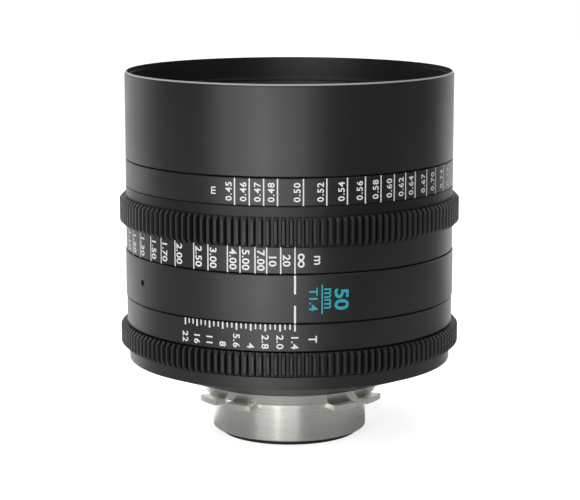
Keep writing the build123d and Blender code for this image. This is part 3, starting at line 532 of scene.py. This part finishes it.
def flat_bar(width, height):
    work = bmesh.new()
    bmesh.ops.create_cube(work, size=1.0)
    for vertex in work.verts:
        vertex.co.x *= width
        vertex.co.y *= height
        vertex.co.z *= PAINT_DEPTH
    mesh = bpy.data.meshes.new("bar")
    work.to_mesh(mesh)
    work.free()
    return mesh


def paint_bar(name, angle, low, high, width, radius, paint, body):
    mesh = flat_bar(width, high - low)
    wrap(mesh, radius, angle, (low + high) / 2, "round")
    place_paint(name, mesh, paint, body)


def join_meshes(name, meshes):
    work = bmesh.new()
    for mesh in meshes:
        work.from_mesh(mesh)
        bpy.data.meshes.remove(mesh)
    joined = bpy.data.meshes.new(name)
    work.to_mesh(joined)
    work.free()
    return joined


# %% [markdown]
# The distance scales
#
# Both scales say the same thing: how far the ring has turned from infinity for a
# given distance. The turn grows as one over the distance, with one law for far
# subjects and a slightly different one close up, where the ring has to turn more.
# Each mark is placed by that law, not one by one.

# %% Turn of the focus ring for a distance
FAR_GAIN, FAR_SHIFT = 93.7, 0.165
NEAR_GAIN, NEAR_SHIFT, NEAR_START = 73.3, -0.072, 6.0
NEAR_LIMIT = 1.3


def ring_turn(distance):
    if distance >= NEAR_LIMIT:
        return FAR_GAIN / (distance + FAR_SHIFT)
    return NEAR_START + NEAR_GAIN / (distance + NEAR_SHIFT)


def label_of(distance):
    return f"{distance:.0f}" if distance >= 10 else f"{distance:.2f}"


CLOSE = (0.45, 0.46, 0.47, 0.48, 0.50, 0.52, 0.54, 0.56, 0.58, 0.60, 0.62, 0.64, 0.67, 0.70,
         0.74, 0.78, 0.84, 0.90, 1.00, 1.10, 1.20)
FAR = (1.30, 1.50, 1.70, 2.00, 2.50, 3.00, 4.00, 5.00, 7.00, 10.0, 20.0)
print("closest mark at", round(ring_turn(CLOSE[0]), 1), "degrees")

# %% [markdown]
# Laying one distance scale
#
# A scale is a row of lines, one for each distance, with a number beside each. Two
# scales need the same steps, so one function lays either. It counts from the angle
# of the infinity line, and the numbers stand a fixed turn away from their lines.

# %% Lay a distance scale
LINE_WIDTH = 0.42 * MM


def lay_distance_scale(name, band, margin, start, reading, digit, weight, squeeze, spacing,
                       number_shift, signs, sign_weight):
    middle = (band[0] + band[1]) / 2
    line_height = band[1] - band[0] - 2 * margin
    numbers = []
    lines = []
    for distance in CLOSE + FAR:
        place = start - ring_turn(distance)
        mesh = flat_text(label_of(distance), digit, weight, squeeze, spacing=spacing)
        wrap(mesh, SCALE_RADIUS, place + number_shift, middle, reading)
        numbers.append(mesh)
        mesh = flat_bar(LINE_WIDTH, line_height)
        wrap(mesh, SCALE_RADIUS, place, middle, "round")
        lines.append(mesh)
    for sign, height, place in signs:
        mesh = flat_text(sign, height, sign_weight)
        wrap(mesh, SCALE_RADIUS, place, middle, reading)
        numbers.append(mesh)
    mesh = flat_bar(LINE_WIDTH, line_height)
    wrap(mesh, SCALE_RADIUS, start, middle, "round")
    lines.append(mesh)
    for suffix, meshes in (("numbers", numbers), ("lines", lines)):
        whole = f"{name}_{suffix}"
        place_paint(whole, join_meshes(whole, meshes), white_paint, "focus_ring")
    print(name, "has", len(lines), "lines")


# %% [markdown]
# The forward distance scale
#
# It reads upwards, with each line to the right of its number, and is read from the
# far side of the lens, so its infinity is half a turn away.

# %% Forward distance scale
UPPER_DIGIT = 2.15 * MM
FAR_SIDE = 180.0
lay_distance_scale(
    "upper_scale", upper_band, margin=0.15 * MM, start=FAR_SIDE, reading="up",
    digit=UPPER_DIGIT, weight=0.06 * MM, squeeze=1.1, spacing=1.14, number_shift=-2.12,
    signs=(("∞", 1.5 * UPPER_DIGIT, FAR_SIDE - 2.2),
           ("m", 1.2 * UPPER_DIGIT, FAR_SIDE - ring_turn(CLOSE[0]) - 8.0)),
    sign_weight=0.03 * MM,
)

# %% [markdown]
# The rearward distance scale
#
# It reads downwards, with each line to the left of its number, in slightly larger
# digits. At rest its infinity line meets the index line below it.

# %% Rearward distance scale
LOWER_DIGIT = 2.45 * MM
lay_distance_scale(
    "lower_scale", lower_band, margin=0.1 * MM, start=0.0, reading="down",
    digit=LOWER_DIGIT, weight=0.07 * MM, squeeze=1.15, spacing=1.04, number_shift=2.0,
    signs=(("∞", 1.6 * LOWER_DIGIT, 2.3), ("m", 1.25 * LOWER_DIGIT, 7.8)),
    sign_weight=0.05 * MM,
)

# %% [markdown]
# The iris scale
#
# Every full stop is the same turn apart, with two short marks between for thirds.
# The numbers end on one line, so a single digit sits as low as a long one.

# %% Iris scale
STOPS = ("1.4", "2.0", "2.8", "4", "5.6", "8", "11", "16", "22")
IRIS_THROW = 38.9
STOP_TURN = IRIS_THROW / (len(STOPS) - 1)
STOP_DIGIT = 2.3 * MM
LONG_TICK, LONG_TICK_WIDTH = 2.3 * MM, 0.55 * MM
SHORT_TICK, SHORT_TICK_WIDTH = 1.7 * MM, 0.45 * MM
LETTER_HEIGHT, LETTER_ANGLE, LETTER_RISE = 2.8 * MM, 5.9, 3.2 * MM
tick_top = iris_band[1] - 0.1 * MM
number_end = iris_band[0] + 1.0 * MM
number_meshes = []
tick_meshes = []
for step, stop in enumerate(STOPS):
    place = -STOP_TURN * step
    mesh = flat_text(stop, STOP_DIGIT, weight=0.06 * MM, squeeze=1.12, align="RIGHT",
                     spacing=1.1)
    wrap(mesh, SCALE_RADIUS, place, number_end, "down")
    number_meshes.append(mesh)
    mesh = flat_bar(LONG_TICK_WIDTH, LONG_TICK)
    wrap(mesh, SCALE_RADIUS, place, tick_top - LONG_TICK / 2, "round")
    tick_meshes.append(mesh)
    if stop != STOPS[-1]:
        for third in (1, 2):
            mesh = flat_bar(SHORT_TICK_WIDTH, SHORT_TICK)
            turn = place - STOP_TURN * third / 3
            wrap(mesh, SCALE_RADIUS, turn, tick_top - SHORT_TICK / 2, "round")
            tick_meshes.append(mesh)
mesh = flat_text("T", LETTER_HEIGHT, weight=0.05 * MM)
wrap(mesh, SCALE_RADIUS, LETTER_ANGLE, number_end + LETTER_RISE, "down")
number_meshes.append(mesh)
place_paint("iris_scale_numbers", join_meshes("iris_scale_numbers", number_meshes),
            white_paint, "iris_ring")
place_paint("iris_scale_ticks", join_meshes("iris_scale_ticks", tick_meshes),
            white_paint, "iris_ring")
print("iris scale has", len(STOPS), "stops")

# %% [markdown]
# The index barrel
#
# One white line serves both rings, broken in its middle. Beside it the focal
# length and the widest stop are painted in teal, turned to read downwards, with a
# thin bar between them. The far side has a line for the forward scale.

# %% Index line and lens marking
END_MARGIN = 0.1 * MM
INDEX_WIDTH = 0.65 * MM
BAR_ANGLE, BAR_WIDTH = 8.9, 0.5 * MM
index_middle = (index_band[0] + index_band[1]) / 2
gap_low = index_middle - 2.1 * MM
gap_high = index_middle + 1.7 * MM
far_low = high_of("focus_scale_upper") + 0.7 * MM
far_high = high_of("focus_scale_upper") + 5.0 * MM
bar_low = index_middle - 5.0 * MM
bar_high = index_middle + 4.7 * MM
paint_bar("index_line_front", 0.0, gap_high, index_band[1] - END_MARGIN, INDEX_WIDTH,
          INDEX_RADIUS, white_paint, "housing")
paint_bar("index_line_rear", 0.0, index_band[0] + END_MARGIN, gap_low, INDEX_WIDTH,
          INDEX_RADIUS, white_paint, "housing")
# Columns: name, words, digit height, angle, rise above the middle, weight, squeeze.
marks = (
    ("focal_length", "50", 4.7 * MM, 15.6, -0.3 * MM, 0.16 * MM, 1.12),
    ("focal_unit", "mm", 3.3 * MM, 11.35, 0.1 * MM, 0.08 * MM, 1.0),
    ("widest_stop", "T1.4", 2.8 * MM, 6.1, -0.1 * MM, 0.08 * MM, 1.08),
)
for name, words, height, angle, rise, weight, squeeze in marks:
    mesh = flat_text(words, height, weight, squeeze)
    wrap(mesh, INDEX_RADIUS, angle, index_middle + rise, "down")
    place_paint(name, mesh, teal_paint, "housing")
paint_bar("marking_bar", BAR_ANGLE, bar_low, bar_high, BAR_WIDTH, INDEX_RADIUS, teal_paint,
          "housing")
paint_bar("index_line_far_side", FAR_SIDE, far_low, far_high, INDEX_WIDTH, SCALE_RADIUS,
          white_paint, "housing")
print("index barrel marked")

# %% [markdown]
# The floor
#
# The lens is shown on white, as in a product picture. The floor is one flat sheet
# just under the mount. It starts in front of the bottom edge of the picture and
# runs far back, so its near edge is left out of the picture.

# %% Floor sheet
FLOOR_FRONT, FLOOR_BACK, FLOOR_SIDE = -0.16, 2.0, 1.6
FLOOR_DROP = 0.1 * MM
floor_mesh = bpy.data.meshes.new("floor")
floor_mesh.from_pydata(
    [(-FLOOR_SIDE, FLOOR_FRONT, 0), (FLOOR_SIDE, FLOOR_FRONT, 0),
     (FLOOR_SIDE, FLOOR_BACK, 0), (-FLOOR_SIDE, FLOOR_BACK, 0)],
    [], [(0, 1, 2, 3)],
)
floor = bpy.data.objects.new("floor", floor_mesh)
bpy.context.scene.collection.objects.link(floor)
floor.location.z = cad_box[0][2] - FLOOR_DROP
print("floor at", round(floor.location.z, 5))

# %% [markdown]
# Who sees the white
#
# The camera sees white all round the lens. Metal and glass see white too, but only
# behind the lens: that white draws the edges of the barrel, where the metal is seen
# at a low angle, and leaves the front dark. The kind of ray tells the camera from
# the metal, and the direction says what lies behind.

# %% Masks for the kinds of ray
BEHIND_AXIS = (-0.13, 0.98, 0.0)
BEHIND_START, BEHIND_FULL = 0.27, 0.72


def behind(tree, coordinates):
    """Rises from nothing to one towards the back of the studio, a little to the left."""
    along = add(tree, "ShaderNodeVectorMath", operation="DOT_PRODUCT")
    along.inputs[1].default_value = BEHIND_AXIS
    wire(tree, coordinates, along.inputs[0])
    ramp = add(tree, "ShaderNodeMapRange", interpolation_type="SMOOTHSTEP")
    ramp.inputs["From Min"].default_value = BEHIND_START
    ramp.inputs["From Max"].default_value = BEHIND_FULL
    wire(tree, along.outputs["Value"], ramp.inputs["Value"])
    return ramp.outputs["Result"]


def ray_masks(tree, coordinates):
    """One mask for camera rays, and one for rays off metal or through glass, from behind."""
    path = add(tree, "ShaderNodeLightPath")
    bent = combine(tree, "MAXIMUM", path.outputs["Is Glossy Ray"],
                   path.outputs["Is Transmission Ray"])
    return path.outputs["Is Camera Ray"], combine(tree, "MULTIPLY", bent, behind(tree, coordinates))


# %% [markdown]
# The finish of the floor
#
# It is pale and matt, so it takes the shadow. It also glows to the camera, a little
# more further from the lens, so it runs into the white behind.

# %% Floor finish
FLOOR_GREY = 0.80
FLOOR_ROUGHNESS = 0.9
NEAR_GLOW, FAR_GLOW = 0.77, 1.0
GLOW_START, GLOW_FULL = 0.03, 0.10
material, tree, shader = new_material("floor_white")
shader.inputs["Base Color"].default_value = (*grey(FLOOR_GREY), 1.0)
shader.inputs["Roughness"].default_value = FLOOR_ROUGHNESS
shader.inputs["Specular IOR Level"].default_value = 0.0
glow = add(tree, "ShaderNodeEmission")
place = add(tree, "ShaderNodeNewGeometry").outputs["Position"]
away = add(tree, "ShaderNodeVectorMath", operation="LENGTH")
wire(tree, place, away.inputs[0])
level = add(tree, "ShaderNodeMapRange")
level.inputs["From Min"].default_value = GLOW_START
level.inputs["From Max"].default_value = GLOW_FULL
level.inputs["To Min"].default_value = NEAR_GLOW
level.inputs["To Max"].default_value = FAR_GLOW
wire(tree, away.outputs["Value"], level.inputs["Value"])
heading = add(tree, "ShaderNodeVectorMath", operation="NORMALIZE")
wire(tree, place, heading.inputs[0])
seen, mirrored = ray_masks(tree, heading.outputs["Vector"])
direct = combine(tree, "MULTIPLY", seen, level.outputs["Result"])
wire(tree, combine(tree, "MAXIMUM", direct, mirrored), glow.inputs["Strength"])
both = add(tree, "ShaderNodeAddShader")
wire(tree, shader.outputs["BSDF"], both.inputs[0])
wire(tree, glow.outputs["Emission"], both.inputs[1])
wire(tree, both.outputs["Shader"], tree.nodes["Material Output"].inputs["Surface"])
material.cycles.emission_sampling = "NONE"
floor_mesh.materials.append(material)
print("made", material.name)

# %% [markdown]
# The studio round the lens
#
# The world is a dim even light on the lens, and white to the camera, so the
# background comes from its colour and not from more light. Metal and glass see its
# white behind the lens only, by the same mask as on the floor.

# %% World
WORLD_LIGHT = 0.14
WHITE = (1.0, 1.0, 1.0, 1.0)
world = bpy.data.worlds.new("studio")
world.use_nodes = True
world.cycles.sampling_method = "NONE"
bpy.context.scene.world = world
tree = world.node_tree
background = tree.nodes["Background"]
direction = add(tree, "ShaderNodeTexCoord").outputs["Generated"]
level = add(tree, "ShaderNodeMapRange")
level.inputs["To Min"].default_value = WORLD_LIGHT
level.inputs["To Max"].default_value = 1.0
seen, mirrored = ray_masks(tree, direction)
wire(tree, combine(tree, "MAXIMUM", seen, mirrored), level.inputs["Value"])
wire(tree, level.outputs["Result"], background.inputs["Strength"])
background.inputs["Color"].default_value = WHITE
print("world light", WORLD_LIGHT)

# %% [markdown]
# The lamps
#
# A large soft lamp at the left front gives the broad sheen on the barrel, and the
# right front stays dark. A narrow lamp just before the middle of the large one gives
# the steel of the mount its upright streak. One lamp overhead softens the shadow
# and lights the rim.

# %% Lamps


def soft_lamp(name, place, target, width, height, watts):
    data = bpy.data.lights.new(name, "AREA")
    data.shape = "RECTANGLE"
    data.size = width
    data.size_y = height
    data.energy = watts
    lamp = bpy.data.objects.new(name, data)
    bpy.context.scene.collection.objects.link(lamp)
    lamp.location = place
    aim = Vector(target) - Vector(place)
    lamp.rotation_euler = aim.to_track_quat("-Z", "Y").to_euler()


MIDDLE = (0.0, 0.0, 0.065)
# Columns: name, place, width, height, watts.
lamps = (
    ("key", (-0.29, -0.81, 0.16), 1.10, 1.0, 6.2),
    ("key_core", (-0.27, -0.78, 0.16), 0.12, 1.0, 0.9),
    ("overhead", (0.0, 0.05, 1.0), 1.1, 1.1, 4.0),
)
for name, place, width, height, watts in lamps:
    soft_lamp(name, place, MIDDLE, width, height, watts)
print("lamps set:", len(lamps))

# %% [markdown]
# The camera
#
# The picture was taken with a long lens from a little above. Its place follows
# from two widths that are known on the real object and from how far the rings'
# ellipses are open: about 0.69 m away, 0.19 m up, tilted down ten degrees, and a
# little to the left of the index line.

# %% Camera
IMAGE_WIDTH = 580.0
SENSOR_WIDTH = 36.0
FOCAL_PIXELS = 1996.4
CAMERA_DISTANCE = 0.69165
CAMERA_HEIGHT = 0.18527
CAMERA_TILT = 0.1735
CAMERA_SIDE = math.radians(-1.83)
CAMERA_YAW = -0.000326
data = bpy.data.cameras.new("camera")
data.sensor_width = SENSOR_WIDTH
data.lens = SENSOR_WIDTH * FOCAL_PIXELS / IMAGE_WIDTH
data.clip_start = 0.01
data.clip_end = 20.0
camera = bpy.data.objects.new("camera", data)
bpy.context.scene.collection.objects.link(camera)
camera.location = (CAMERA_DISTANCE * math.sin(CAMERA_SIDE),
                   -CAMERA_DISTANCE * math.cos(CAMERA_SIDE), CAMERA_HEIGHT)
camera.rotation_euler = (math.pi / 2 - CAMERA_TILT, 0.0, CAMERA_SIDE + CAMERA_YAW)
bpy.context.scene.camera = camera
bpy.context.scene.view_settings.view_transform = "Standard"
print("camera at", [round(value, 4) for value in camera.location])
